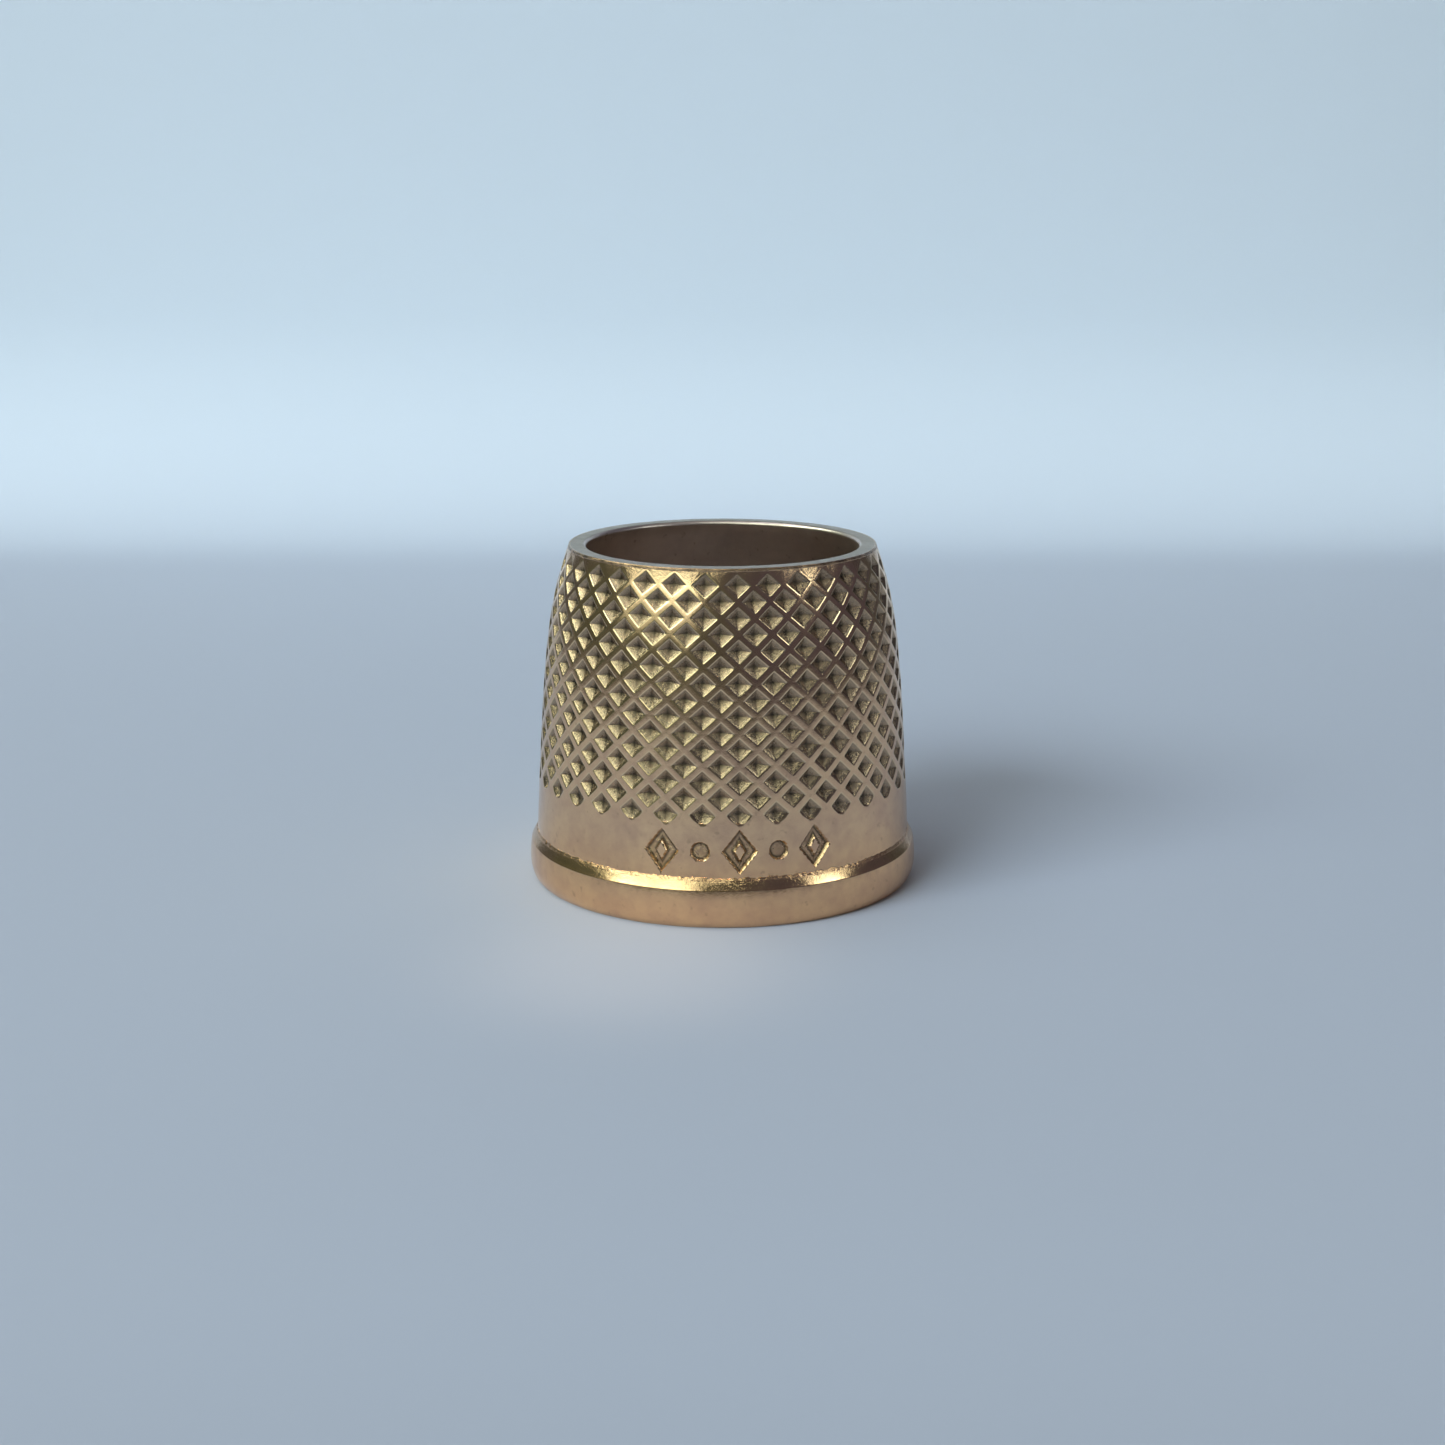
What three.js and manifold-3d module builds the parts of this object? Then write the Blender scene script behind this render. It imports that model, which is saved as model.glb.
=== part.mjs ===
// An open-top (tailor's) thimble: one thick-walled brass shell with a flat top lip, a barrel-shaped
// wall that is covered in rows of pressed pyramid pits, a plain band with a stamped ornament and a
// beaded rim it stands on. Millimetres, +Z up, origin on the axis at the level of the rim's foot.
// The ornament is centred on -Y.
import * as THREE from "three";
import { mergeVertices } from "three/addons/utils/BufferGeometryUtils.js";
import Module from "manifold-3d";

// Overall size.
const HEIGHT = 17.85;
const LIP_OUTER_R = 8.05;
const LIP_INNER_R = 7.16;
const BODY_FOOT_R = 9.96; // the wall, where it meets the rim's cove
const RIM_R = 10.36; // the rim's crown, the widest place

// Rim heights and radii.
const FOOT_OUTER_R = 10.0;
const FOOT_INNER_R = 9.2;
const CROWN_Z = 1.05;
const RIM_EDGE_R = 10.28;
const RIM_EDGE_Z = 2.0;
const COVE_TOP_Z = 2.6;
const COVE_SAG = 0.03; // how far the cove dips below the straight line between its edges
const MOUTH_R = 9.02; // the bore just above the foot's inner rounding
const MOUTH_Z = 0.22;
const FOOT_INNER_EDGE_R = 9.07; // where the small flat inside the foot meets the bore's mouth
const FOOT_INNER_EDGE_Z = 0.07;
const HEEL_R = 10.27; // the rim's outside, between the foot and the crown
const HEEL_Z = 0.33;
const LIP_EDGE_BREAK = 0.06; // the small flat on the lip's outer edge
const LIP_INNER_ROUND = 0.2; // radius of the lip's inner edge

// The points that pull the wall's and the bore's curves, radius then height.
const WALL_PULL = [
  [9.19, 14.53],
  [9.4, 13.41],
];
const BORE_PULL = [
  [8.5, 12.2],
  [8.3, 14.0],
];

// How many straight steps stand in for each curve of the section.
const RIM_STEPS = 6;
const COVE_STEPS = 4;
const BORE_STEPS = 6;
const LIP_ROUND_STEPS = 4;

// Pits: a lattice of four-sided pyramids standing on a corner.
const PITS_PER_ROW = 33;
const PIT_ROWS = 15;
const TOP_ROW_ARC = 0.855; // from the lip down the wall to the top row's centres
const BOTTOM_ROW_ARC = 12.23;
const PIT_HALF_WIDTH = 0.63;
const PIT_HALF_HEIGHT = 0.59;
const PIT_DEPTH = 0.28;
const PIT_FLOOR_Z = 5.36; // the tool's edge: nothing is pressed below this height
const CUTTER_STAND_OFF = 0.4; // how far the cutters reach outside the wall

// Stamped ornament: upright lozenge frames with round pellets between them.
const MARK_ARC = 14.11; // from the lip down the wall to the ornament's centre line
const MARK_DEPTH = 0.2;
const LOZENGE_HALF_WIDTH = 0.86;
const LOZENGE_HALF_HEIGHT = 1.08;
const LOZENGE_STROKE = 0.4;
const PELLET_R = 0.46;
const PELLET_SIDES = 16;
const MARK_STEP_DEG = 11.5; // from one element of the ornament to the next
const MARK_ELEMENTS = 5;

const SEGMENTS = 2 * PITS_PER_ROW; // one wall edge under every pit's centre line
const STEP = (2 * Math.PI) / SEGMENTS;
const SAME_POINT = 1e-4; // corners closer than this are one corner
const FLAT_ENOUGH = 1e-3;

const brass = new THREE.MeshStandardMaterial({
  color: 0xa98a5c,
  roughness: 0.42,
  metalness: 1.0,
});

const wasm = await Module();
wasm.setup();

function solid(geometry) {
  const bare = geometry.index ? geometry.toNonIndexed() : geometry.clone();
  bare.deleteAttribute("normal");
  bare.deleteAttribute("uv");
  const merged = mergeVertices(bare, SAME_POINT);
  return new wasm.Manifold(
    new wasm.Mesh({
      numProp: 3,
      vertProperties: merged.attributes.position.array,
      triVerts: new Uint32Array(merged.index.array),
    }),
  );
}

// The pits' corners land on the wall's own edges, which leaves hair-thin slivers to be closed up.
function withoutSlivers(manifold) {
  return solid(geometryOf(manifold)).simplify(FLAT_ENOUGH);
}

function geometryOf(manifold) {
  const mesh = manifold.getMesh();
  const geometry = new THREE.BufferGeometry();
  geometry.setAttribute("position", new THREE.BufferAttribute(mesh.vertProperties, 3));
  geometry.setIndex(new THREE.BufferAttribute(mesh.triVerts, 1));
  geometry.computeVertexNormals();
  return geometry;
}

// The outside of the wall from the lip down to the cove: a barrel that draws in towards the top.
const wall = new THREE.CubicBezierCurve(
  new THREE.Vector2(LIP_OUTER_R, HEIGHT),
  new THREE.Vector2(...WALL_PULL[0]),
  new THREE.Vector2(...WALL_PULL[1]),
  new THREE.Vector2(BODY_FOOT_R, COVE_TOP_Z),
);
const wallLength = wall.getLength();

// The point of the wall a given distance along it from the lip.
function wallAt(arc) {
  return wall.getPointAt(arc / wallLength);
}

// How far the wall leans in towards the top at that distance, as an angle.
function wallLean(arc) {
  const down = wall.getTangentAt(arc / wallLength);
  return Math.atan2(down.x, -down.y);
}

function rowArc(row) {
  return THREE.MathUtils.lerp(TOP_ROW_ARC, BOTTOM_ROW_ARC, row / (PIT_ROWS - 1));
}

// The bore: nearly parallel to the outside, drawn in at the top like it.
const bore = new THREE.CubicBezierCurve(
  new THREE.Vector2(MOUTH_R, MOUTH_Z),
  new THREE.Vector2(...BORE_PULL[0]),
  new THREE.Vector2(...BORE_PULL[1]),
  new THREE.Vector2(LIP_INNER_R, HEIGHT - LIP_INNER_ROUND),
);

// The quarter round from the flat of the lip down into the bore.
function lipRound() {
  const centre = new THREE.Vector2(LIP_INNER_R + LIP_INNER_ROUND, HEIGHT - LIP_INNER_ROUND);
  return Array.from({ length: LIP_ROUND_STEPS }, (_, step) => {
    const turn = Math.PI / 2 + ((Math.PI / 2) * step) / LIP_ROUND_STEPS;
    const arm = new THREE.Vector2(Math.cos(turn), Math.sin(turn)).multiplyScalar(LIP_INNER_ROUND);
    return centre.clone().add(arm);
  });
}

// A concave arc between two points, dipping by the sag on its left-hand side.
function arcPoints(from, to, sag, count) {
  const middle = from.clone().add(to).multiplyScalar(0.5);
  const along = to.clone().sub(from).normalize();
  const control = middle.add(new THREE.Vector2(-along.y, along.x).multiplyScalar(2 * sag));
  return new THREE.QuadraticBezierCurve(from, control, to).getPoints(count);
}

// The wall's cross-section, from the foot's inner edge outwards, up the outside and down the bore.
function section() {
  const rows = Array.from({ length: PIT_ROWS }, (_, row) => wallAt(rowArc(PIT_ROWS - 1 - row)));
  const rimEdge = new THREE.Vector2(RIM_EDGE_R, RIM_EDGE_Z);
  const wallFoot = new THREE.Vector2(BODY_FOOT_R, COVE_TOP_Z);
  const rimCurve = new THREE.SplineCurve([
    new THREE.Vector2(FOOT_OUTER_R, 0),
    new THREE.Vector2(HEEL_R, HEEL_Z),
    new THREE.Vector2(RIM_R, CROWN_Z),
    rimEdge,
  ]);
  const bandPoint = wallAt((BOTTOM_ROW_ARC + wallLength) / 2);
  const points = [
    new THREE.Vector2(FOOT_INNER_R, 0),
    ...rimCurve.getPoints(RIM_STEPS),
    ...arcPoints(rimEdge, wallFoot, COVE_SAG, COVE_STEPS).slice(1),
    bandPoint,
    ...rows,
    wallAt(TOP_ROW_ARC / 2),
    new THREE.Vector2(LIP_OUTER_R, HEIGHT - LIP_EDGE_BREAK),
    new THREE.Vector2(LIP_OUTER_R - LIP_EDGE_BREAK, HEIGHT),
    ...lipRound(),
    ...bore.getPoints(BORE_STEPS).reverse(),
    new THREE.Vector2(FOOT_INNER_EDGE_R, FOOT_INNER_EDGE_Z),
  ];
  return [...points, points[0].clone()];
}

function shell() {
  return solid(new THREE.LatheGeometry(section(), SEGMENTS).rotateX(Math.PI / 2));
}

// A pyramid cutter square to the wall. Its side corners come out on the wall's own ring of edges, so
// the depth is measured from there. Angles run from -Y.
function pitCutter(arc, angle) {
  const centre = wallAt(arc);
  centre.x -= PIT_HALF_WIDTH * Math.tan(STEP / 2);
  const length = PIT_DEPTH + CUTTER_STAND_OFF;
  const mouth = (PIT_HALF_HEIGHT * length) / PIT_DEPTH;
  const cone = new THREE.ConeGeometry(mouth, length, 4, 1);
  cone.scale(PIT_HALF_WIDTH / PIT_HALF_HEIGHT, 1, 1);
  cone.translate(0, PIT_DEPTH - length / 2, 0);
  cone.rotateX(-wallLean(arc)).translate(0, -centre.x, centre.y);
  return solid(cone.rotateZ(angle));
}

function pits() {
  const cutters = [];
  for (let row = 0; row < PIT_ROWS; row += 1) {
    for (let column = 0; column < PITS_PER_ROW; column += 1) {
      cutters.push(pitCutter(rowArc(row), (2 * column + (row % 2)) * STEP));
    }
  }
  const below = new THREE.CylinderGeometry(2 * RIM_R, 2 * RIM_R, PIT_FLOOR_Z, 8).rotateX(Math.PI / 2);
  below.translate(0, 0, PIT_FLOOR_Z / 2);
  return wasm.Manifold.union(cutters).subtract(solid(below));
}

// An outline pushed into the wall at an angle around it, seen upright from outside.
function stamp(shape, angle) {
  const centre = wallAt(MARK_ARC);
  const reach = MARK_DEPTH + CUTTER_STAND_OFF;
  const body = new THREE.ExtrudeGeometry(shape, { depth: reach, bevelEnabled: false });
  body.rotateX(Math.PI / 2).translate(0, MARK_DEPTH - centre.x, centre.y);
  return solid(body.rotateZ(angle));
}

function lozenge(halfWidth, halfHeight) {
  return [
    new THREE.Vector2(halfWidth, 0),
    new THREE.Vector2(0, halfHeight),
    new THREE.Vector2(-halfWidth, 0),
    new THREE.Vector2(0, -halfHeight),
  ];
}

function lozengeFrame() {
  const inset = LOZENGE_STROKE * Math.SQRT2;
  const shape = new THREE.Shape(lozenge(LOZENGE_HALF_WIDTH, LOZENGE_HALF_HEIGHT));
  shape.holes.push(new THREE.Path(lozenge(LOZENGE_HALF_WIDTH - inset, LOZENGE_HALF_HEIGHT - inset)));
  return shape;
}

function pellet() {
  const corners = Array.from({ length: PELLET_SIDES }, (_, side) => {
    const turn = (2 * Math.PI * side) / PELLET_SIDES;
    return new THREE.Vector2(PELLET_R * Math.cos(turn), PELLET_R * Math.sin(turn));
  });
  return new THREE.Shape(corners);
}

function ornament() {
  const cutters = [];
  for (let index = 0; index < MARK_ELEMENTS; index += 1) {
    const place = index - (MARK_ELEMENTS - 1) / 2;
    const shape = index % 2 === 0 ? lozengeFrame() : pellet();
    cutters.push(stamp(shape, THREE.MathUtils.degToRad(place * MARK_STEP_DEG)));
  }
  return wasm.Manifold.union(cutters);
}

function thimble() {
  const body = shell().subtract(pits()).subtract(ornament());
  const mesh = new THREE.Mesh(geometryOf(withoutSlivers(body)), brass);
  mesh.name = "thimble";
  return mesh;
}

const part = new THREE.Group();
part.name = "open_top_thimble";
part.add(thimble());

export default part;
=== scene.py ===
"""Looks of the open-top brass thimble: a finely built skin for the CAD solid, its worn brass, and
a plain pale studio with soft light from the front left."""

import bisect
import math

import bmesh
import bpy
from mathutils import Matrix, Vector, noise


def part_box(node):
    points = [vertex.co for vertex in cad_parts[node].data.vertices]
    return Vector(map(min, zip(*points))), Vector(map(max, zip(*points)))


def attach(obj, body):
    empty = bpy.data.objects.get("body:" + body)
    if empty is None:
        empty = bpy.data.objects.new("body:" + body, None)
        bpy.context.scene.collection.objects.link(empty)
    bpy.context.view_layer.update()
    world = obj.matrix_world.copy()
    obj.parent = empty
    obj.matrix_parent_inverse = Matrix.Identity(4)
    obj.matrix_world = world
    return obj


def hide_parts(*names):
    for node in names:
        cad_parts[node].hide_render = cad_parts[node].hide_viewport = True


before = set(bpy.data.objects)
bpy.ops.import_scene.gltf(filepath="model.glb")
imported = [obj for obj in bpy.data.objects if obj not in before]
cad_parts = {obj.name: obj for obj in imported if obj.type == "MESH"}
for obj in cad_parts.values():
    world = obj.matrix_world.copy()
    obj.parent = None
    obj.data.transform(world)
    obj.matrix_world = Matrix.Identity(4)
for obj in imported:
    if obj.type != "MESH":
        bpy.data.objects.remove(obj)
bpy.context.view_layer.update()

MM = 0.001
low_corner, high_corner = (Vector(corner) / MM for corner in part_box("thimble"))

# ---------------------------------------------------------------- dimensions, millimetres

HEIGHT = high_corner.z - low_corner.z
RIM_R = (high_corner.y - low_corner.y) / 2
LIP_OUTER_R = 8.05
LIP_INNER_R = 7.16
LIP_ROUND = 0.2  # radius of the lip's inner edge
BODY_FOOT_R = 9.96
COVE_TOP_Z = 2.6
RIM_EDGE = (10.28, 2.0)
RIM_EDGE_ROUND = 0.03
CROWN_Z = 1.05
COVE_SAG = 0.004  # how far the cove is hollowed below a straight line
FOOT_OUTER_R = 10.0
FOOT_INNER_R = 9.2
MOUTH_ROUND = 0.08  # radius between the foot's flat and the bore
LIP_EDGE_ROUND = 0.035

PITS_PER_ROW = 33
PIT_ROWS = 15
TOP_ROW_ARC = 0.855
BOTTOM_ROW_ARC = 12.23
ROW_PITCH = (BOTTOM_ROW_ARC - TOP_ROW_ARC) / (PIT_ROWS - 1)
HALF_COLUMN = math.pi / PITS_PER_ROW
PIT_HALF_WIDTH = 0.65
PIT_HALF_HEIGHT = 0.60
PIT_DEPTH = 0.28
PIT_TIP_SHIFT = (-0.07, -0.07)  # the tip's place off the pit's middle: round the wall, down it
PIT_FLOOR_ARC = 12.68  # nothing is pressed further down the wall than this
LATTICE_TOP_ARC = 0.20
LATTICE_BOTTOM_ARC = 12.87
BAND_TOP_ARC = 12.91
BAND_BOTTOM_ARC = 15.25

MARK_ARC = 14.11
MARK_DEPTH = 0.2
MARK_STEP = math.radians(11.5)
LOZENGE_HALF = (0.86, 1.08)
LOZENGE_STROKE = 0.4
PELLET_R = 0.46


# ---------------------------------------------------------------- outlines

def bezier(p0, p1, p2, p3, t):
    """A point of a cubic curve in the (radius, height) plane."""
    s = 1 - t
    weights = (s ** 3, 3 * s * s * t, 3 * s * t * t, t ** 3)
    return Vector(sum(w * p[i] for w, p in zip(weights, (p0, p1, p2, p3))) for i in (0, 1))


NORMAL_REACH = 0.15


class Outline:
    """A curve in the (radius, height) plane, read by the distance along it."""

    def __init__(self, points):
        self.points = [Vector(p) for p in points]
        self.arcs = [0.0]
        for a, b in zip(self.points, self.points[1:]):
            self.arcs.append(self.arcs[-1] + (b - a).length)
        self.length = self.arcs[-1]

    def _span(self, arc):
        i = bisect.bisect_right(self.arcs, arc) - 1
        return max(0, min(i, len(self.points) - 2))

    def at(self, arc):
        i = self._span(arc)
        a, b = self.points[i], self.points[i + 1]
        return a + (b - a) * ((arc - self.arcs[i]) / (self.arcs[i + 1] - self.arcs[i]))

    def outward(self, arc):
        """The unit normal to the left of the way along, smoothed over a short stretch."""
        reach = NORMAL_REACH
        along = self.at(min(arc + reach, self.length)) - self.at(max(arc - reach, 0))
        return Vector((-along.y, along.x)).normalized()


WALL_CONTROLS = ((LIP_OUTER_R, HEIGHT), (9.19, 14.53), (9.4, 13.41), (BODY_FOOT_R, COVE_TOP_Z))
BORE_CONTROLS = ((9.02, 0.22), (8.5, 12.2), (8.3, 14.0), (LIP_INNER_R, HEIGHT - LIP_ROUND))
WALL_STEPS = 400
wall = Outline(bezier(*WALL_CONTROLS, i / WALL_STEPS) for i in range(WALL_STEPS + 1))


def smooth(value):
    """0 below 0, 1 above 1 and an easy curve between."""
    value = max(0.0, min(1.0, value))
    return value * value * (3 - 2 * value)


def bump(value, centre, width):
    """1 at the centre, falling off smoothly to both sides."""
    return math.exp(-(((value - centre) / width) ** 2))


def around(radius, height, angle):
    """A point at an angle from -Y, turning towards +X."""
    return Vector((radius * math.sin(angle), -radius * math.cos(angle), height))


def ripple(point):
    """The hand-worn unevenness of the outside, as a height in millimetres."""
    broad = noise.noise(point * 0.55)
    small = noise.noise(point * 2.3 + Vector((7, 3, 1)))
    return 0.012 * broad + 0.004 * small


def wall_point(arc, angle, depth):
    """A point of the rippled wall, sunk to a depth along the wall's normal."""
    place = wall.at(arc)
    out = wall.outward(arc)
    surface = around(place.x, place.y, angle)
    depth = depth - ripple(surface)
    return around(place.x - depth * out.x, place.y - depth * out.y, angle)


# ---------------------------------------------------------------- the skin

class Skin:
    """Points, faces and the four shading masks of the one piece."""

    def __init__(self):
        self.points = []
        self.hollow = []
        self.edge = []
        self.shade_and_grime = []
        self.grit = []
        self.faces = []
        self.finishes = []

    def add(self, point, hollow=0.0, edge=0.0, shade_and_grime=0.0, grit=0.0):
        self.points.append(point)
        self.hollow.append(hollow)
        self.edge.append(edge)
        self.shade_and_grime.append(shade_and_grime)
        self.grit.append(grit)
        return len(self.points) - 1

    def face(self, corners, finish):
        self.faces.append(corners)
        self.finishes.append(finish)

    def strip(self, upper, lower, finish):
        """Quads between two closed rings of as many points, the first above the second."""
        count = len(upper)
        for i in range(count):
            j = (i + 1) % count
            self.face((upper[i], lower[i], lower[j], upper[j]), finish)

    def zipper(self, upper, lower, finish):
        """Triangles between two closed rings of (angle, point) with different counts."""
        i, j = 0, 0
        a = upper + [(upper[0][0] + 2 * math.pi, upper[0][1])]
        b = lower + [(lower[0][0] + 2 * math.pi, lower[0][1])]
        while i < len(upper) or j < len(lower):
            step_upper = j == len(lower) or (i < len(upper) and a[i + 1][0] <= b[j + 1][0])
            if step_upper:
                self.face((a[i][1], b[j][1], a[i + 1][1]), finish)
                i += 1
            else:
                self.face((a[i][1], b[j][1], b[j + 1][1]), finish)
                j += 1


BODY, LIP, BORE = 0, 1, 2
skin = Skin()


# ---------------------------------------------------------------- the pits

SIDE_STOPS = (0.0, 0.08, 0.3, 0.7, 0.92)
LEVELS = (1.12, 1.05, 1.0, 0.94, 0.58, 0.12)
EDGE_SOFTNESS = 0.030
FACE_BULGE = 0.8
CORNER_PULL = 0.02
LAST_ROW_STRETCH = 1.25
LAST_ROW_DEPTH = 0.80
PLACE_SCATTER = 0.018
SIZE_SCATTER = 0.035
DEPTH_SCATTER = 0.10
SKEW_SCATTER = 0.035
FLOOR_SCATTER = 0.03
LAST_ROW_SCATTER = 0.12
CREASE_WIDTH = 0.07


def pyramid_depth(level):
    """Depth at a fraction of the way out from the pit's middle: a soft edge and bulging faces."""
    straight = EDGE_SOFTNESS * math.log1p(math.exp((1 - level) / EDGE_SOFTNESS))
    return straight * (1 + FACE_BULGE * (1 - straight))


def diamond(stop, side, pull):
    """A point of the unit diamond: side 0 runs from the right corner up to the top one."""
    corners = ((1, 0), (0, -1), (-1, 0), (0, 1))
    a, b = corners[side], corners[(side + 1) % 4]
    inward = 1 - pull * (math.exp(-((stop / 0.07) ** 2)) + math.exp(-(((1 - stop) / 0.07) ** 2)))
    return tuple(inward * (p * (1 - stop) + q * stop) for p, q in zip(a, b))


def wobble(seed, index):
    """A repeatable number from -1 to 1 for one pit."""
    return noise.noise(Vector((seed * 3.71 + 0.5, index * 1.37 + 0.25, seed * 0.83 - index)) * 1.9)


cell_corners = {}


def cell_point(row, column, stop, side):
    """A point of the lattice cell's edge, shared with the neighbour on the other side."""
    x, y = diamond(stop, side, 0.0)
    arc = TOP_ROW_ARC + (row + y) * ROW_PITCH
    arc = max(LATTICE_TOP_ARC, min(LATTICE_BOTTOM_ARC, arc))
    key_x = round((column + x) * 1000) % (2 * PITS_PER_ROW * 1000)
    key = (key_x, round((row + y) * 1000))
    if key not in cell_corners:
        angle = (column + x) * HALF_COLUMN
        cell_corners[key] = skin.add(wall_point(arc, angle, 0.0))
    return cell_corners[key]


def pit(row, column):
    """One pit and the land around it, from the cell's edge down to the tip."""
    seed = row * 2 * PITS_PER_ROW + column
    centre_arc = TOP_ROW_ARC + row * ROW_PITCH + PLACE_SCATTER * wobble(seed, 1)
    radius = wall.at(centre_arc).x
    centre_angle = column * HALF_COLUMN + PLACE_SCATTER * wobble(seed, 2) / radius
    scale = 1 + SIZE_SCATTER * wobble(seed, 3)
    depth = PIT_DEPTH * (1 + DEPTH_SCATTER * wobble(seed, 4))
    skew = SKEW_SCATTER * wobble(seed, 5)
    last_row = row == PIT_ROWS - 1
    floor_arc = PIT_FLOOR_ARC + FLOOR_SCATTER * wobble(seed, 6)
    if last_row:
        depth *= LAST_ROW_DEPTH + LAST_ROW_SCATTER * wobble(seed, 7)

    places = [(stop, side) for side in range(4) for stop in SIDE_STOPS]
    ring = [cell_point(row, column, stop, side) for stop, side in places]
    for level in LEVELS:
        pull = CORNER_PULL if level > 0.6 else 0.4 * CORNER_PULL * level
        inner = []
        for stop, side in places:
            x, y = diamond(stop, side, pull)
            across = PIT_HALF_WIDTH * scale * level * (x + skew * y)
            down = PIT_HALF_HEIGHT * scale * level * (y - skew * x)
            if last_row and down > 0:
                down *= LAST_ROW_STRETCH
            across += PIT_TIP_SHIFT[0] * max(0.0, 1 - level)
            down += PIT_TIP_SHIFT[1] * max(0.0, 1 - level)
            arc = max(centre_arc + down, LATTICE_TOP_ARC + 0.01)
            if last_row:
                arc = min(arc, floor_arc + 0.06 * (level - 0.95))
            deep = depth * pyramid_depth(level)
            angle = centre_angle + across / radius
            edge = bump(level, 1.03, 0.05)
            # Painted shade: dark lines along the pit's valleys, growing darker towards its tip.
            shade_and_grime = math.exp(-min(abs(x), abs(y)) / CREASE_WIDTH) * smooth((0.75 - level) / 0.4)
            shade_and_grime = max(shade_and_grime, smooth((0.3 - level) / 0.2))
            hollow = deep / PIT_DEPTH
            grit = smooth(hollow / 0.3)
            inner.append(skin.add(wall_point(arc, angle, deep), hollow, edge, shade_and_grime, grit))
        skin.strip(ring[::-1], inner[::-1], BODY)
        ring = inner
    tip_arc = centre_arc + PIT_TIP_SHIFT[1]
    tip_angle = centre_angle + PIT_TIP_SHIFT[0] / radius
    # The tip is in full painted shade.
    tip = skin.add(wall_point(tip_arc, tip_angle, depth * 0.985), 1.0, 0.0, 1.0, 1.0)
    for i in range(len(ring)):
        skin.face((ring[(i + 1) % len(ring)], ring[i], tip), BODY)


for pit_row in range(PIT_ROWS):
    for pit_index in range(PITS_PER_ROW):
        pit(pit_row, 2 * pit_index + pit_row % 2)


def lattice_edge(row, sides):
    """The zigzag edge of the lattice along its first or last row, by angle."""
    ring = []
    for index in range(PITS_PER_ROW):
        column = 2 * index + row % 2
        half_cell = [(stop, side) for side in sides for stop in SIDE_STOPS]
        for stop, side in half_cell:
            x, _ = diamond(stop, side, 0.0)
            ring.append(((column + x) * HALF_COLUMN, cell_point(row, column, stop, side)))
    seen = {}
    for angle, point in ring:
        seen.setdefault(point, angle % (2 * math.pi))
    return sorted((angle, point) for point, angle in seen.items())


# ---------------------------------------------------------------- the plain band and its ornament

def lozenge_distance(x, y, half_width, half_height):
    """Distance to a lozenge's edge, negative inside."""
    slope = math.hypot(half_width, half_height)
    return (abs(x) * half_height + abs(y) * half_width - half_width * half_height) / slope


def mark_distance(across, down):
    """Distance to the nearest stamped edge of the ornament, negative inside it."""
    step = MARK_STEP * BODY_FOOT_R
    nearest = FAR
    for place in range(-2, 3):
        x = across - place * step
        if place % 2:
            nearest = min(nearest, math.hypot(x, down) - PELLET_R)
        else:
            outer = lozenge_distance(x, down, *LOZENGE_HALF)
            inset = LOZENGE_STROKE * math.sqrt(2)
            inner = lozenge_distance(x, down, LOZENGE_HALF[0] - inset, LOZENGE_HALF[1] - inset)
            nearest = min(nearest, max(outer, -inner))
    return nearest


MARK_SPREAD = math.radians(31)
FINE_STEP = 0.05
COARSE_COLUMNS = 110
FAR = 9.0


def band_angles():
    """Angles of the band's columns: close together under the ornament, wide elsewhere."""
    fine = round(2 * MARK_SPREAD * BODY_FOOT_R / FINE_STEP)
    inside = [-MARK_SPREAD + 2 * MARK_SPREAD * i / fine for i in range(fine + 1)]
    span = 2 * math.pi - 2 * MARK_SPREAD
    outside = [MARK_SPREAD + span * (i + 1) / (COARSE_COLUMNS + 1) for i in range(COARSE_COLUMNS)]
    return sorted(angle % (2 * math.pi) for angle in inside + outside)


def band_ring(arc, angles):
    """One ring of the band, sunk where the ornament is stamped, with painted shade just inside its
    edges.
    """
    ring = []
    for angle in angles:
        signed = angle if angle < math.pi else angle - 2 * math.pi
        distance = mark_distance(signed * BODY_FOOT_R, arc - MARK_ARC)
        sunk = smooth(0.5 - distance / 0.08)
        place = around(BODY_FOOT_R, arc, angle)
        depth = MARK_DEPTH * sunk * (1 + 0.16 * noise.noise(place * 5.5))
        edge = 0.3 * bump(distance, 0.0, 0.05)
        # Painted shade just inside the stamp's edge.
        shade_and_grime = bump(distance, -0.07, 0.05)
        ring.append(skin.add(wall_point(arc, angle, depth), sunk * 0.075, edge, shade_and_grime, sunk))
    return ring


def band():
    """The plain band's rings, top and bottom ones returned for joining on."""
    angles = band_angles()
    length = BAND_BOTTOM_ARC - BAND_TOP_ARC
    count = round(length / FINE_STEP)
    rings = [band_ring(BAND_TOP_ARC + length * i / count, angles) for i in range(count + 1)]
    for upper, lower in zip(rings, rings[1:]):
        skin.strip(upper, lower, BODY)
    return list(zip(angles, rings[0])), list(zip(angles, rings[-1]))


# ---------------------------------------------------------------- turned surfaces

COLUMNS = 5 * PITS_PER_ROW
turned_angles = [2 * math.pi * i / COLUMNS for i in range(COLUMNS)]


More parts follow.
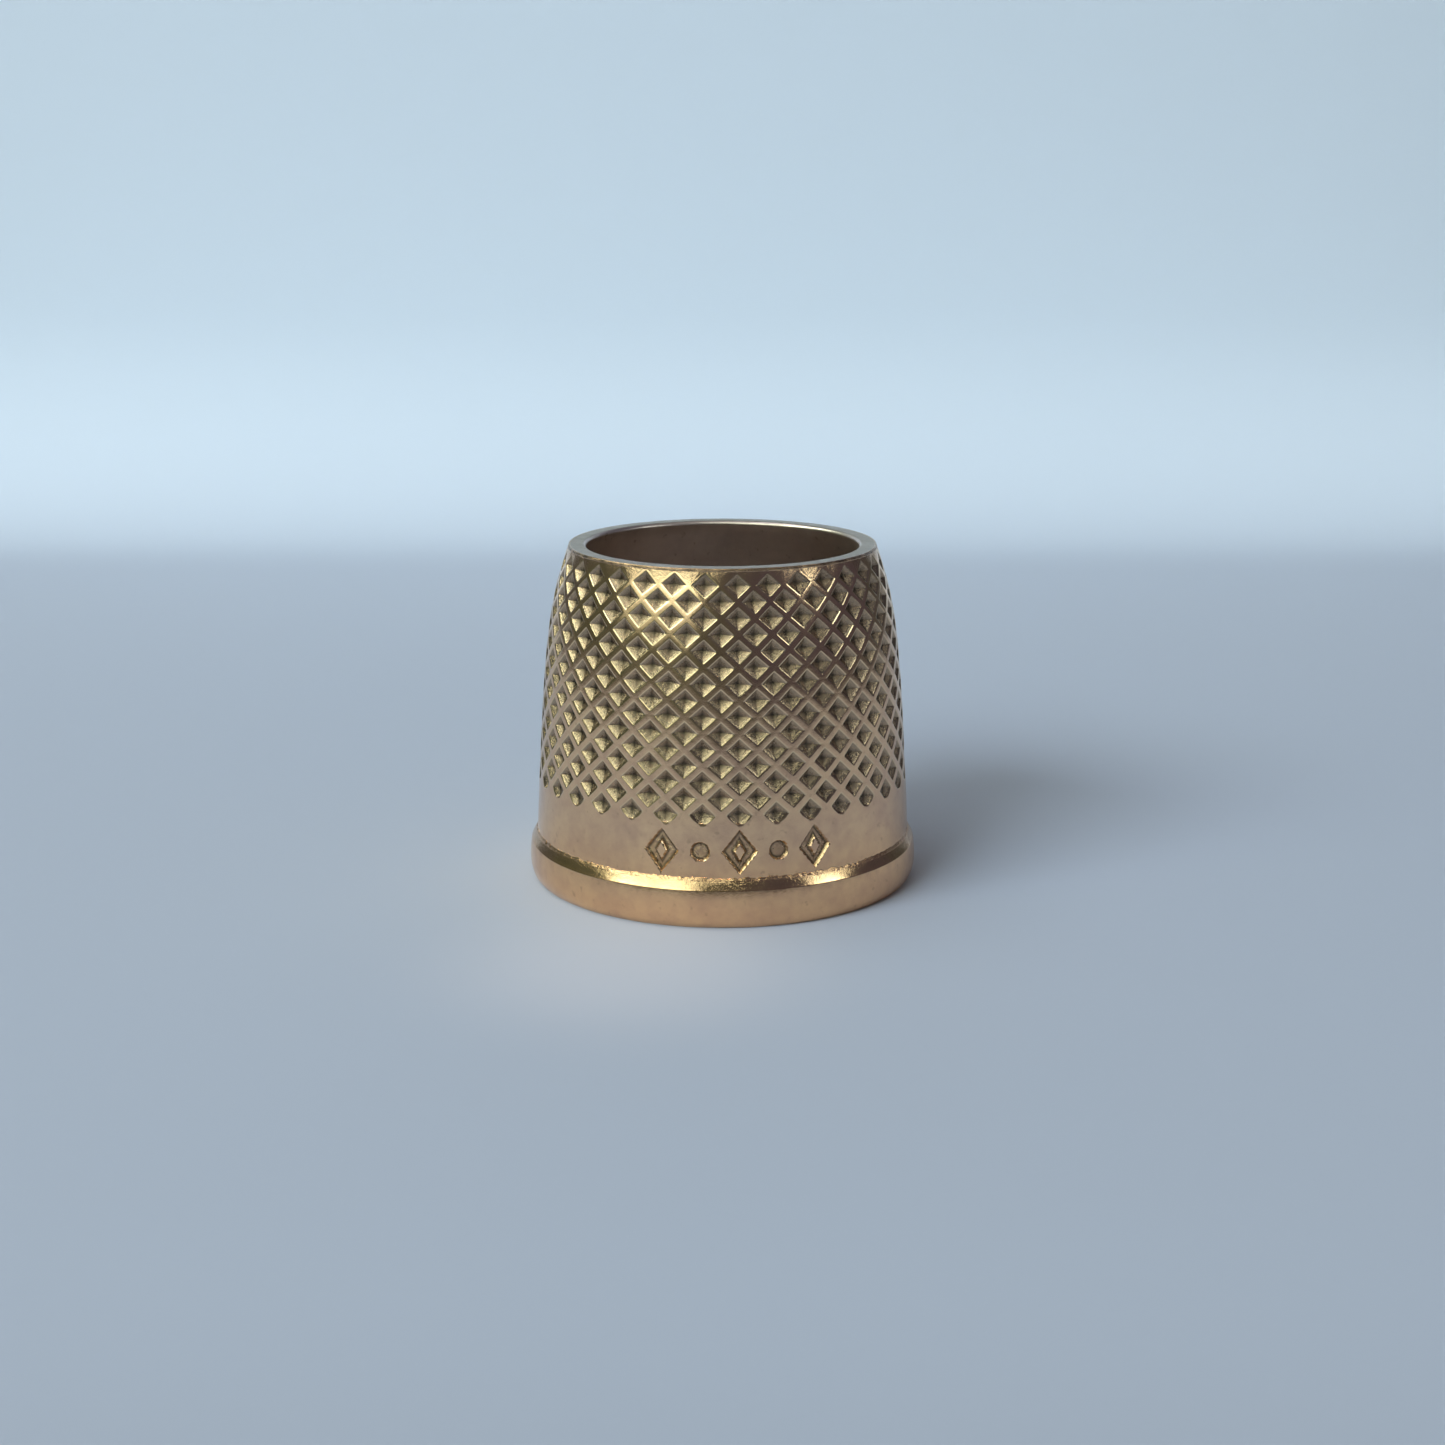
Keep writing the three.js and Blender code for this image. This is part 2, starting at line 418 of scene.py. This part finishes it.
def turned_ring(radius, height, wander=0.0, grit=0.0, grime_and_shade=0.0):
    """A ring of the turned surfaces; those in the cove are painted darker as shade and grime,
    rubbed and a little rough.
    """
    ring = []
    shade_and_grime, shine = 0.0, 0.0
    if radius > BODY_FOOT_R - 0.1:
        # Painted shade, with some grime, across the cove's middle.
        shade_and_grime = 0.28 * bump(height, 2.27, 0.24)
        shine = 0.25 * bump(height, 2.25, 0.26)
        grit = max(grit, 0.2 * bump(height, 2.38, 0.24))
    for angle in turned_angles:
        place = around(radius, height, angle)
        out = around(1, 0, angle)
        shift = ripple(place) + wander * noise.noise(place * 1.7)
        patchy = max(0.0, min(1.0, 0.8 + 0.9 * noise.noise(place * 3.1)))
        ring.append(skin.add(place + out * shift, 0.0, shine, max(shade_and_grime, grime_and_shade * patchy), grit))
    return ring


def rounded(corner, before, after, reach, steps):
    """A small fillet round a corner of an outline, from points before and after it."""
    corner, before, after = Vector(corner), Vector(before), Vector(after)
    start = corner + (before - corner).normalized() * reach
    end = corner + (after - corner).normalized() * reach
    curve = []
    for i in range(steps + 1):
        t = i / steps
        curve.append(start * (1 - t) ** 2 + corner * 2 * t * (1 - t) + end * t * t)
    return curve


def cove():
    """Three outlines: the hollow between wall and rim, the rim's shoulder and its heel."""
    wall_foot = Vector((BODY_FOOT_R, COVE_TOP_Z))
    rim_edge = Vector(RIM_EDGE)
    middle = (wall_foot + rim_edge) / 2 - Vector((0.9, 0.44)).normalized() * 2 * COVE_SAG
    steps = 8
    curve = []
    for i in range(steps + 1):
        t = i / steps
        curve.append(wall_foot * (1 - t) ** 2 + middle * 2 * t * (1 - t) + rim_edge * t * t)
    crown = Vector((RIM_R, CROWN_Z))
    shoulder = [bezier(rim_edge, (10.335, 1.70), (RIM_R, 1.35), crown, t / 6) for t in range(1, 7)]
    foot = Vector((FOOT_OUTER_R, 0.0))
    heel = [bezier(crown, (RIM_R, 0.62), (10.26, 0.16), foot, t / 9) for t in range(1, 10)]
    return curve, shoulder, heel


TEAR_COLUMNS = 600
TEAR_ANGLES = [2 * math.pi * i / TEAR_COLUMNS for i in range(TEAR_COLUMNS)]
TEAR_LIFT = 0.11
TEAR_REACH = 0.15  # how far down the cove the tear is felt


def torn_ring(place, lift, grit, grime_and_shade):
    """A fine ring along the cove's upper edge, pushed up and down where the tool tore the brass."""
    ring = []
    for index, angle in enumerate(TEAR_ANGLES):
        point = around(place.x, place.y, angle)
        tear = 0.3 * noise.noise(point * 1.8) + wobble(index, 9)
        point.z += lift * tear
        point += around(1, 0, angle) * (ripple(point) + 0.07 * lift * wobble(index, 11))
        # The tear's notches are darkened with grime and painted shade.
        ring.append(skin.add(point, 0.0, 0.0, grime_and_shade * max(0.0, min(1.0, 0.5 - tear)), grit))
    return ring


def torn_edge(band_bottom, curve):
    """Joins the band to the cove through the torn edge; the cove's first plain ring is returned."""
    corner = curve[0]
    up = (wall.at(15.0) - corner).normalized()
    down = (curve[1] - corner).normalized()
    rings = [
        torn_ring(corner + up * 0.012, TEAR_LIFT, 0.1, 0.0),
        torn_ring(corner, TEAR_LIFT, 0.1, 0.3),
        torn_ring(corner + down * 0.015, TEAR_LIFT, 0.4, 0.45),
        torn_ring(corner + down * TEAR_REACH, 0.03, 0.35, 0.0),
    ]
    skin.zipper(band_bottom, list(zip(TEAR_ANGLES, rings[0])), BODY)
    for first, second in zip(rings, rings[1:]):
        skin.strip(first, second, BODY)
    clear = rings[-1]
    smooth_place = corner + down * 1.4 * TEAR_REACH
    plain_ring = turned_ring(smooth_place.x, smooth_place.y)
    skin.zipper(list(zip(TEAR_ANGLES, clear)), list(zip(turned_angles, plain_ring)), BODY)
    return plain_ring


def lower_rings():
    """The outline from just under the torn edge down round the foot to the bore's mouth."""
    curve, shoulder, heel = cove()
    upper = curve[3:-1]
    upper += rounded(curve[-1], curve[-2], shoulder[1], RIM_EDGE_ROUND, 4)
    upper += shoulder[1:]
    foot_inner = Vector((FOOT_INNER_R, 0.0))
    mouth = Vector(BORE_CONTROLS[0])
    below = heel + [Vector((9.7, 0.0)), foot_inner + Vector((0.1, 0))]
    below += rounded(foot_inner, below[-1], mouth, MOUTH_ROUND, 3)
    return upper + below


def bore_rings(steps=18):
    return [bezier(*BORE_CONTROLS, i / steps) for i in range(steps + 1)]


def lip_rings():
    """The ground lip: rounded over from the bore, then flat out to a crisp outer edge."""
    inner = Vector((LIP_INNER_R, HEIGHT))
    outer = Vector((LIP_OUTER_R, HEIGHT))
    turn = []
    steps = 7
    for i in range(1, steps + 1):
        bend = math.pi / 2 * i / steps
        turn.append(inner + LIP_ROUND * Vector((1 - math.cos(bend), math.sin(bend) - 1)))
    across = [turn[-1].lerp(outer, t) for t in (0.3, 0.6, 0.9)]
    outer_edge = rounded(outer, inner, wall.at(0.5), LIP_EDGE_ROUND, 3)
    return turn, across, outer_edge


def turned(points, first, finish, wander=0.0, grit=0.0, grime_and_shade=0.0):
    """Sweeps points round the axis, joined on to a ring that is already there."""
    ring = first
    for point in points:
        lower = turned_ring(point.x, point.y, wander, grit, grime_and_shade)
        skin.strip(ring, lower, finish)
        ring = lower
    return ring


band_top, band_bottom = band()
skin.zipper(lattice_edge(PIT_ROWS - 1, (3, 2)), band_top, BODY)

foot_ring = turned(lower_rings(), torn_edge(band_bottom, cove()[0]), BODY)
bore_ring = turned(bore_rings(), foot_ring, BORE)
lip_turn, lip_face, lip_outer = lip_rings()
ring = turned(lip_turn[:5], bore_ring, BORE)
ring = turned(lip_turn[5:] + lip_face, ring, LIP)
# A dark band of grime and painted shade just under the lip's outer edge.
lip_edge = turned(lip_outer, ring, BODY, 0.010, 0.4, 0.6)
BURR = ((0.065, 0.9), (0.09, 1.0), (0.12, 0.8), (0.16, 0.3))  # how far down the wall, how much grime and painted shade
for arc, grime_and_shade in BURR:
    lip_edge = turned([wall.at(arc)], lip_edge, BODY, 0.008, min(1.0, 1.3 * grime_and_shade), grime_and_shade)
skin.zipper(list(zip(turned_angles, lip_edge)), lattice_edge(0, (0, 1)), BODY)


def build_piece(name, materials):
    """Makes the skin one object, with its masks as attributes."""
    mesh = bpy.data.meshes.new(name)
    mesh.from_pydata([point * MM for point in skin.points], [], skin.faces)
    shape = bmesh.new()
    shape.from_mesh(mesh)
    bmesh.ops.recalc_face_normals(shape, faces=shape.faces)
    shape.to_mesh(mesh)
    shape.free()
    for material in materials:
        mesh.materials.append(material)
    mesh.polygons.foreach_set("material_index", skin.finishes)
    mesh.polygons.foreach_set("use_smooth", [True] * len(skin.faces))
    for title in ("hollow", "edge", "shade_and_grime", "grit"):
        layer = mesh.attributes.new(title, "FLOAT", "POINT")
        layer.data.foreach_set("value", getattr(skin, title))
    mesh.update()
    mesh.validate()
    mesh.set_sharp_from_angle(angle=math.radians(38))
    piece = bpy.data.objects.new(name, mesh)
    bpy.context.scene.collection.objects.link(piece)
    return piece


# ---------------------------------------------------------------- materials

class Graph:
    """Short ways to make and join shader nodes."""

    def __init__(self, name, world=None):
        if world:
            self.owner = world
        else:
            self.owner = bpy.data.materials.new(name)
        self.owner.use_nodes = True
        self.tree = self.owner.node_tree
        self.tree.nodes.clear()

    def node(self, kind, inputs=None, **settings):
        made = self.tree.nodes.new(kind)
        for key, value in settings.items():
            setattr(made, key, value)
        for key, value in (inputs or {}).items():
            self.feed(made.inputs[key], value)
        return made

    def feed(self, socket, value):
        if isinstance(value, bpy.types.NodeSocket):
            self.tree.links.new(value, socket)
        else:
            socket.default_value = value

    def value(self, operation, a, b=0.0):
        made = self.node("ShaderNodeMath", operation=operation)
        self.feed(made.inputs[0], a)
        self.feed(made.inputs[1], b)
        return made.outputs[0]

    def ramp(self, value, low, high, to_low=0.0, to_high=1.0):
        made = self.node("ShaderNodeMapRange", {
            "Value": value, "From Min": low, "From Max": high, "To Min": to_low, "To Max": to_high,
        })
        return made.outputs[0]

    def fade(self, value, low, high):
        """0 at the one value and 1 at the other, smoothly."""
        made = self.node("ShaderNodeMapRange", {
            "Value": value, "From Min": low, "From Max": high,
        }, interpolation_type="SMOOTHSTEP")
        return made.outputs[0]

    def mix(self, amount, a, b, blend="MIX"):
        made = self.node("ShaderNodeMix", data_type="RGBA", blend_type=blend)
        self.feed(made.inputs[0], amount)
        self.feed(made.inputs[6], a)
        self.feed(made.inputs[7], b)
        return made.outputs[2]

    def grain(self, place, scale, detail, roughness):
        made = self.node("ShaderNodeTexNoise", {
            "Vector": place, "Scale": scale, "Detail": detail, "Roughness": roughness,
        })
        return made.outputs[0]

    def mask(self, name):
        return self.node("ShaderNodeAttribute", attribute_name=name).outputs["Fac"]


SPOT = (0.30, 0.20, 0.13, 1)
DIRT = (0.375, 0.272, 0.182, 1)
# Near-black for painted shade, with some grime, in valleys, notches and grooves.
PAINTED_SHADE_AND_GRIME = (0.05, 0.038, 0.028, 1)
RUBBED = (0.92, 0.78, 0.48, 1)
# Painted warm reflection of the lit paper at the foot.
PAINTED_WARM_REFLECTION = (1.02, 0.95, 0.85, 1)


def brass(name, metal, tarnish, base_roughness, grain_height):
    """Brass with brown tarnish in patches, dull olive hollows, rubbed edges and a fine grain."""
    g = Graph(name)
    place = g.node("ShaderNodeTexCoord").outputs["Object"]
    hollow, edge, shade_and_grime, grit = (g.mask(title) for title in ("hollow", "edge", "shade_and_grime", "grit"))
    broad = g.grain(place, 420.0, 4.0, 0.55)
    cloud = g.grain(place, 1500.0, 4.0, 0.6)
    speck = g.grain(place, 5200.0, 2.0, 0.6)
    fine = g.grain(place, 22000.0, 2.0, 0.5)

    patch = g.value("ADD", g.value("MULTIPLY", broad, 0.6), g.value("MULTIPLY", cloud, 0.4))
    colour = g.mix(g.ramp(patch, 0.40, 0.66), metal, tarnish)
    spot = g.value("MULTIPLY", g.ramp(g.grain(place, 2600.0, 2.0, 0.5), 0.66, 0.74), 0.35)
    colour = g.mix(spot, colour, SPOT)
    dirt = g.value("MULTIPLY", g.ramp(hollow, 0.03, 0.12), g.ramp(speck, 0.30, 0.62, 0.7, 1.0))
    colour = g.mix(dirt, colour, DIRT)
    # Painted shade, with some grime: near-black in the pits' valleys and tips, inside the stamp's
    # edges, across the cove, in the torn edge's notches and under the lip.
    colour = g.mix(g.value("MULTIPLY", shade_and_grime, 0.88), colour, PAINTED_SHADE_AND_GRIME)
    colour = g.mix(g.value("MULTIPLY", edge, 0.5), colour, RUBBED)
    # Painted warm reflection: the metal is tinted warmer below 5 mm, towards the foot.
    height = g.node("ShaderNodeSeparateXYZ", {0: place}).outputs[2]
    colour = g.mix(g.fade(height, 5.0 * MM, 2.0 * MM), colour, PAINTED_WARM_REFLECTION, "MULTIPLY")

    rough = g.value("ADD", base_roughness, g.ramp(cloud, 0.3, 0.7, -0.03, 0.06))
    rough = g.value("ADD", rough, g.ramp(grit, 0.0, 1.0, 0.0, 0.10))
    rough = g.value("SUBTRACT", rough, g.value("MULTIPLY", edge, 0.08))
    relief = g.value("ADD", speck, g.value("MULTIPLY", fine, 0.6))
    relief = g.value("MULTIPLY", relief, g.ramp(grit, 0.0, 1.0, grain_height, 4.5))
    relief = g.value("ADD", relief, g.value("MULTIPLY", cloud, 0.9))
    surface = g.node("ShaderNodeBump", {"Height": relief, "Strength": 1.0, "Distance": 0.01 * MM})
    shader = g.node("ShaderNodeBsdfPrincipled", {
        "Base Color": colour, "Metallic": 1.0, "Roughness": rough, "Normal": surface.outputs[0],
    })
    output = g.node("ShaderNodeOutputMaterial")
    g.tree.links.new(shader.outputs[0], output.inputs[0])
    return g.owner


body_brass = brass("worn_brass", (0.87, 0.565, 0.34, 1), (0.70, 0.44, 0.29, 1), 0.16, 0.25)
lip_brass = brass("ground_brass", (0.57, 0.485, 0.39, 1), (0.49, 0.415, 0.335, 1), 0.36, 1.0)
bore_brass = brass("bore_brass", (0.76, 0.63, 0.56, 1), (0.65, 0.53, 0.48, 1), 0.32, 0.6)

thimble = build_piece("thimble_skin", (body_brass, lip_brass, bore_brass))
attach(thimble, "root")
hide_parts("thimble")


# ---------------------------------------------------------------- camera

CAMERA_AZIMUTH = math.radians(-5.0)
CAMERA_REACH = 114.91
CAMERA_HEIGHT = 36.78
AIM_HEIGHT = 8.09
FOCAL_PIXELS = 2213
FRAME_PIXELS = 1445
SENSOR = 36.0


def point_at(thing, target):
    thing.rotation_euler = (Vector(target) - thing.location).to_track_quat("-Z", "Y").to_euler()


def make_camera():
    data = bpy.data.cameras.new("camera")
    data.sensor_width = SENSOR
    data.lens = SENSOR * FOCAL_PIXELS / FRAME_PIXELS
    data.clip_start = 0.005
    data.clip_end = 20.0
    camera = bpy.data.objects.new("camera", data)
    bpy.context.scene.collection.objects.link(camera)
    camera.location = around(CAMERA_REACH, CAMERA_HEIGHT, CAMERA_AZIMUTH) * MM
    point_at(camera, (0, 0, AIM_HEIGHT * MM))
    bpy.context.scene.camera = camera


make_camera()


# ---------------------------------------------------------------- studio

PAPER = (0.60, 0.64, 0.70, 1)
# Painted light: the paper is lighter where it stands up, as if more light fell there.
PAINTED_LIT_STANDING_PAPER = (0.89, 0.95, 0.99, 1)
# Painted shade: dark grey for the paper far in front and at its sides.
SHADED_PAPER = (0.13, 0.13, 0.13, 1)


def sweep_colour():
    """Pale paper, painted lighter where it stands up, and darkened by painted shade in front and at
    its sides.
    """
    g = Graph("pale_paper")
    place = g.node("ShaderNodeTexCoord").outputs["Object"]
    x, y, _ = g.node("ShaderNodeSeparateXYZ", {0: place}).outputs
    standing = g.fade(y, 90 * MM, 129 * MM)
    colour = g.mix(standing, PAPER, PAINTED_LIT_STANDING_PAPER)
    # Painted shade darkens the paper in front and at its sides.
    near = g.fade(y, -125 * MM, -45 * MM)
    side = g.fade(g.value("ABSOLUTE", x), 112 * MM, 86 * MM)
    colour = g.mix(g.value("MULTIPLY", near, side), SHADED_PAPER, colour)
    shader = g.node("ShaderNodeBsdfPrincipled", {"Base Color": colour, "Roughness": 0.8})
    output = g.node("ShaderNodeOutputMaterial")
    g.tree.links.new(shader.outputs[0], output.inputs[0])
    return g.owner


def sweep():
    """The floor, which turns up into a backdrop behind the thimble."""
    width, front, turn, radius, top = 260, -700, 104, 22, 90
    turn_steps = 12
    line = [(front, 0.0), (turn, 0.0)]
    for i in range(1, turn_steps + 1):
        bend = math.pi / 2 * i / turn_steps
        line.append((turn + radius * math.sin(bend), radius * (1 - math.cos(bend))))
    line.append((turn + radius, top))
    points, faces = [], []
    for depth, height in line:
        for side in (-width, width):
            points.append(Vector((side, depth, height)) * MM)
    for i in range(len(line) - 1):
        faces.append((2 * i, 2 * i + 1, 2 * i + 3, 2 * i + 2))
    mesh = bpy.data.meshes.new("floor")
    mesh.from_pydata(points, [], faces)
    mesh.polygons.foreach_set("use_smooth", [True] * len(faces))
    mesh.materials.append(sweep_colour())
    floor = bpy.data.objects.new("floor", mesh)
    floor.rotation_euler.z = CAMERA_AZIMUTH
    floor.location.z = -0.01 * MM
    bpy.context.scene.collection.objects.link(floor)


LAMP_REACH = 1300
WINDOW = (0.88, 1.04, 0.87)
FAR_WINDOW = (0.90, 1.06, 0.98)
SKY = (0.82, 0.88, 0.97)
PAPER_LIGHT = (0.95, 1.12, 1.42)
WARM = (1.0, 0.78, 0.58)


def lamp(name, azimuth, elevation, spread, radiance, colour):
    """An area light aimed at the thimble, placed by its bearing from the camera's side.

    The spread is the width and height it is seen at from the thimble, in degrees."""
    data = bpy.data.lights.new(name, "AREA")
    data.shape = "RECTANGLE"
    data.size, data.size_y = (2 * LAMP_REACH * math.tan(math.radians(s) / 2) * MM for s in spread)
    data.energy = radiance * math.pi * data.size * data.size_y
    data.color = colour
    light = bpy.data.objects.new(name, data)
    bearing = CAMERA_AZIMUTH + math.radians(azimuth)
    rise = math.radians(elevation)
    light.location = around(LAMP_REACH * math.cos(rise), LAMP_REACH * math.sin(rise), bearing) * MM
    point_at(light, (0, 0, 0.5 * HEIGHT * MM))
    bpy.context.scene.collection.objects.link(light)
    return light


def surroundings():
    """A dim room under a pale ceiling."""
    world = bpy.data.worlds.new("room")
    bpy.context.scene.world = world
    g = Graph("room", world)
    way = g.node("ShaderNodeTexCoord").outputs["Generated"]
    sides = g.node("ShaderNodeSeparateXYZ", {0: way}).outputs
    walls = g.mix(g.fade(sides[0], -0.6, 0.5), (0.086, 0.108, 0.084, 1), (0.074, 0.073, 0.106, 1))
    ceiling = g.fade(sides[2], 0.72, 0.90)
    colour = g.mix(ceiling, walls, (0.24, 0.24, 0.25, 1))
    background = g.node("ShaderNodeBackground", {"Color": colour, "Strength": 1.0})
    output = g.node("ShaderNodeOutputWorld")
    g.tree.links.new(background.outputs[0], output.inputs[0])


sweep()
surroundings()
lamp("window_high", -45, 32, (49, 12), 3.2, WINDOW)
lamp("window_mid", -45, 22, (49, 8), 1.3, WINDOW)
lamp("window_low", -45, 14, (49, 8), 0.5, WINDOW)
# Small windows that are seen in the metal and leave the paper as it is.
accents = (
    lamp("window_right", -27, 41, (18, 6), 2.4, WINDOW),
    lamp("window_left", -78, 38, (26, 10), 5.6, WINDOW),
    lamp("high_front", -12, 52, (36, 10), 3.8, WINDOW),
    lamp("far_window", 68, 28, (17, 12), 4.0, FAR_WINDOW),
    lamp("side_window", -106, 40, (26, 14), 6.5, WINDOW),
)
for accent in accents:
    accent.visible_diffuse = False
lamp("skylight", -95, 64, (44, 24), 1.2, SKY)
lamp("overhead", -50, 82, (40, 14), 0.6, SKY)
# The light that falls on the paper and is not seen in the metal.
key = lamp("paper_key", -44, 34, (34, 22), 5.5, PAPER_LIGHT)
key.visible_glossy = False


def glow():
    """Light that the polished wall throws on the paper at its foot."""
    data = bpy.data.lights.new("glow", "SPOT")
    data.energy = 0.045
    data.color = WARM
    data.spot_size = math.radians(13)
    data.spot_blend = 1.0
    data.shadow_soft_size = 4 * MM
    light = bpy.data.objects.new("glow", data)
    target = around(16.0, 0.0, CAMERA_AZIMUTH + math.radians(-16)) * MM
    light.location = target + Vector((0, 0, 90)) * MM
    point_at(light, target)
    bpy.context.scene.collection.objects.link(light)


glow()
bpy.context.scene.view_settings.view_transform = "Standard"
